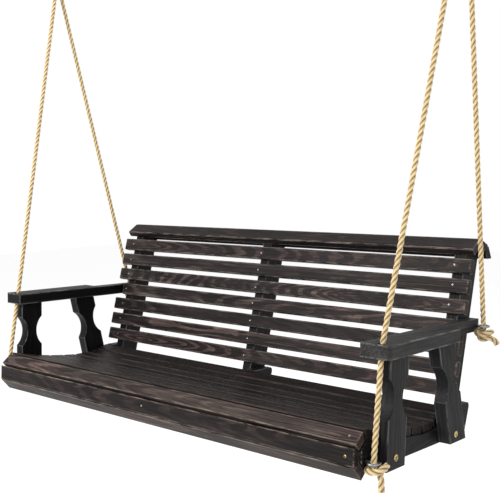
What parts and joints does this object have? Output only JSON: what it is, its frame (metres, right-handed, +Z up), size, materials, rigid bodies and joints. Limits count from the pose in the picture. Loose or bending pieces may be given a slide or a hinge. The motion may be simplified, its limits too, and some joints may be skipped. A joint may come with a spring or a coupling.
{
  "type": "porch swing seat",
  "caption": "Slatted wooden porch swing bench with rolled seat front, rolled crest, hourglass arm posts and flat arms, hung by twisted ropes from ceiling hangers.",
  "frame": {"origin": "on the ceiling plane, midway between the two ceiling hangers", "axes": "+X along the bench to a viewer's right, +Y to the back of the seat, +Z up"},
  "size_m": [1.841, 0.7659, 1.7405],
  "materials": {
    "stained_slats": "dark brown-black penetrating stain over visible pine grain, satin",
    "stained_frame": "dark grey-black penetrating stain, satin",
    "twisted_rope": "tan three-strand twisted rope",
    "zinc_steel": "bright zinc-plated steel",
    "brass_bolt": "yellow zinc plate",
    "hanger_steel": "black powder coat"
  },
  "bodies": {
    "ceiling": {"ceiling_hanger_left": "hanger_steel", "ceiling_hanger_right": "hanger_steel"},
    "swing": {"armrest_left": "stained_frame", "armrest_right": "stained_frame", "back_slat_1": "stained_slats", "back_slat_2": "stained_slats", "back_slat_3": "stained_slats", "back_slat_4": "stained_slats", "back_slat_5": "stained_slats", "back_slat_6": "stained_slats", "back_slat_7": "stained_slats", "back_support_centre": "stained_frame", "back_support_left": "stained_frame", "back_support_right": "stained_frame", "crest_front_cap": "stained_slats", "crest_rear_cap": "stained_slats", "crest_top_cap": "stained_slats", "front_arm_post_left": "stained_frame", "front_arm_post_right": "stained_frame", "front_eye_bolt_left": "zinc_steel", "front_eye_bolt_right": "zinc_steel", "front_knot_left": "twisted_rope", "front_knot_right": "twisted_rope", "front_post_bolt_left": "brass_bolt", "front_post_bolt_right": "brass_bolt", "front_rope_left": "twisted_rope", "front_rope_right": "twisted_rope", "rail_bolt_left": "brass_bolt", "rail_bolt_right": "brass_bolt", "rear_arm_post_left": "stained_frame", "rear_arm_post_right": "stained_frame", "rear_eye_bolt_left": "zinc_steel", "rear_eye_bolt_right": "zinc_steel", "rear_knot_left": "twisted_rope", "rear_knot_right": "twisted_rope", "rear_post_bolt_left": "brass_bolt", "rear_post_bolt_right": "brass_bolt", "rear_rope_left": "twisted_rope", "rear_rope_right": "twisted_rope", "roll_bottom_slat": "stained_slats", "roll_front_slat": "stained_slats", "roll_upper_slat": "stained_slats", "rope_eye_left": "twisted_rope", "rope_eye_right": "twisted_rope", "rope_seizing_left": "twisted_rope", "rope_seizing_right": "twisted_rope", "seat_rail_centre": "stained_frame", "seat_rail_left": "stained_frame", "seat_rail_right": "stained_frame", "seat_slat_1": "stained_slats", "seat_slat_2": "stained_slats", "seat_slat_3": "stained_slats", "seat_slat_4": "stained_slats", "seat_slat_5": "stained_slats", "seat_slat_6": "stained_slats", "seat_slat_7": "stained_slats", "seat_slat_8": "stained_slats", "top_ring_left": "zinc_steel", "top_ring_right": "zinc_steel"}
  },
  "joints": [
    {"name": "swing_hinge", "type": "hinge", "parent": "ceiling", "child": "swing", "pos_m": [0, 0, -0.055], "axis": [1, 0, 0], "range_deg": [-25, 25]}
  ]
}
